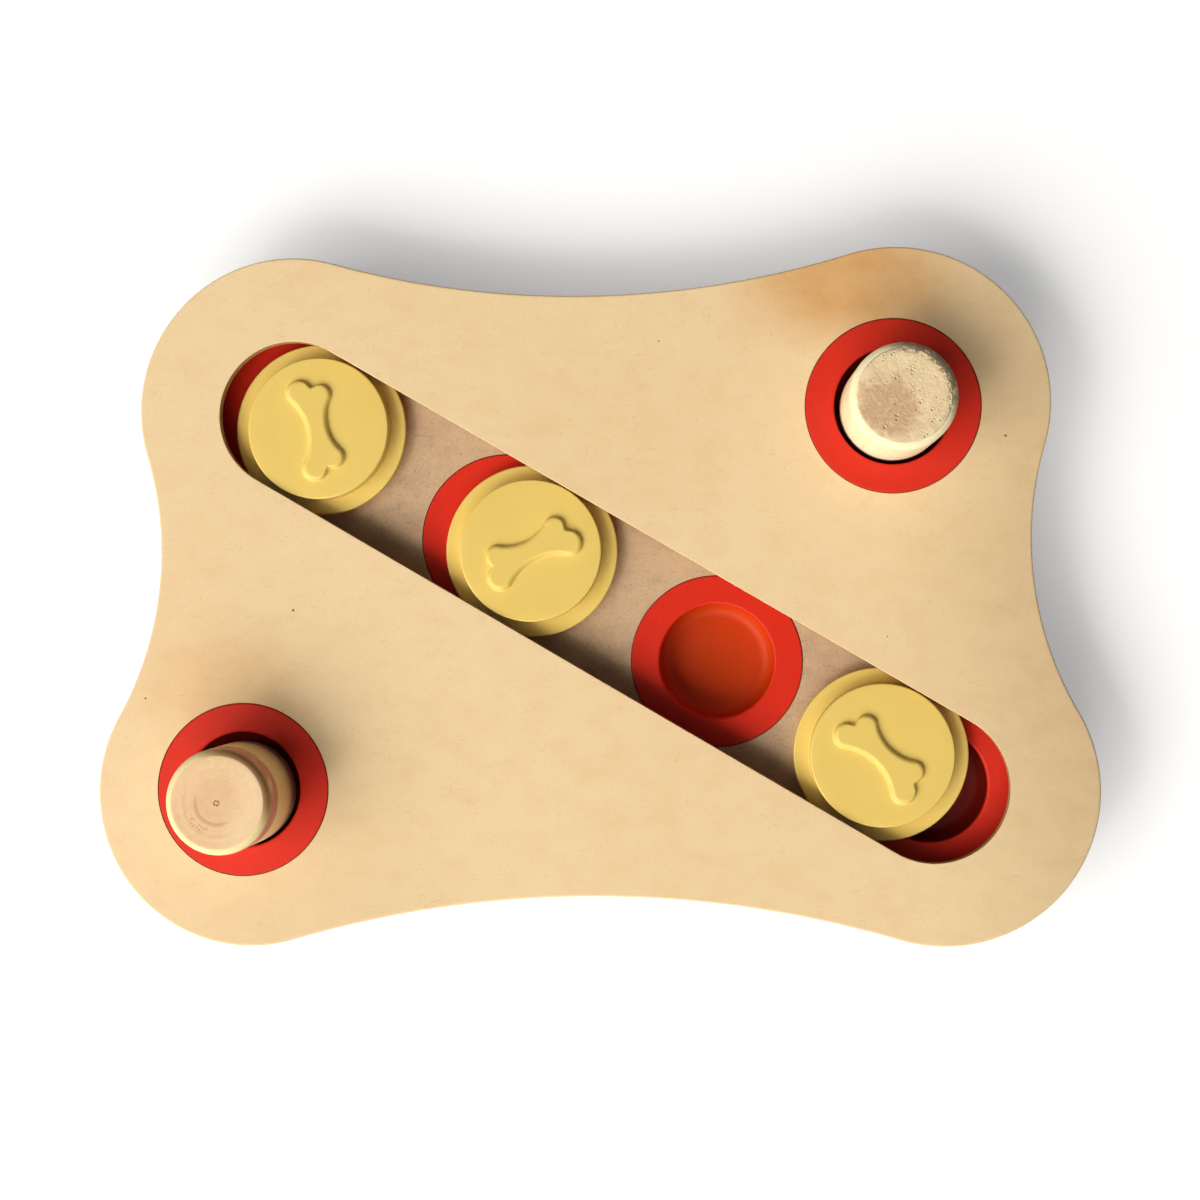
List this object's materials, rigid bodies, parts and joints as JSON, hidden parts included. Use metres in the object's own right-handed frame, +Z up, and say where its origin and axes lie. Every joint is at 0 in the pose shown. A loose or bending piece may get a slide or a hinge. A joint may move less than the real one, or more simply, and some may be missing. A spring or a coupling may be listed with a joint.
{
  "type": "dog puzzle feeder",
  "caption": "Lobed fibreboard puzzle feeder for dogs, with treat cups under captive sliding discs in a slanted slot and under loose wooden pegs at opposite corners.",
  "frame": {"origin": "on the floor under the middle of the board's outline", "axes": "+X along the board's long side, to the right of a reader for whom the slot falls from rear left to front right, +Y to the rear, +Z up"},
  "size_m": [0.347, 0.2404, 0.0619],
  "materials": {
    "fibreboard": "satin clear coat",
    "fibreboard_core": "raw, cut",
    "red_plastic": "satin",
    "yellow_plastic": "satin",
    "beech": "turned, unfinished",
    "rubber": "matte",
    "zinc": "zinc plated"
  },
  "bodies": {
    "board": {"base_plate": "fibreboard_core", "channel_plate": "fibreboard_core", "top_plate": "fibreboard", "well_cup_1": "red_plastic", "well_cup_2": "red_plastic", "well_cup_3": "red_plastic", "well_cup_4": "red_plastic", "peg_cup_left": "red_plastic", "peg_cup_right": "red_plastic", "foot_rear_left": "rubber", "foot_rear_right": "rubber", "foot_front_left": "rubber", "foot_front_right": "rubber", "foot_screws": "zinc"},
    "disc_1": {"sliding_disc_1": "yellow_plastic"},
    "disc_2": {"sliding_disc_2": "yellow_plastic"},
    "disc_3": {"sliding_disc_3": "yellow_plastic"},
    "left_peg": {"peg_left": "beech"},
    "right_peg": {"peg_right": "beech"}
  },
  "joints": [
    {"name": "disc_1_slide", "type": "slide", "parent": "board", "child": "disc_1", "axis": [0.8607, -0.509, 0], "range_m": [-0.009, 0.023]},
    {"name": "disc_2_slide", "type": "slide", "parent": "board", "child": "disc_2", "axis": [0.8607, -0.509, 0], "range_m": [-0.002, 0.0445]},
    {"name": "disc_3_slide", "type": "slide", "parent": "board", "child": "disc_3", "axis": [0.8607, -0.509, 0], "range_m": [-0.035, 0.02]},
    {"name": "left_peg_lift", "type": "slide", "parent": "board", "child": "left_peg", "axis": [0, 0, 1], "range_m": [0, 0.05]},
    {"name": "right_peg_lift", "type": "slide", "parent": "board", "child": "right_peg", "axis": [0, 0, 1], "range_m": [0, 0.05]}
  ]
}
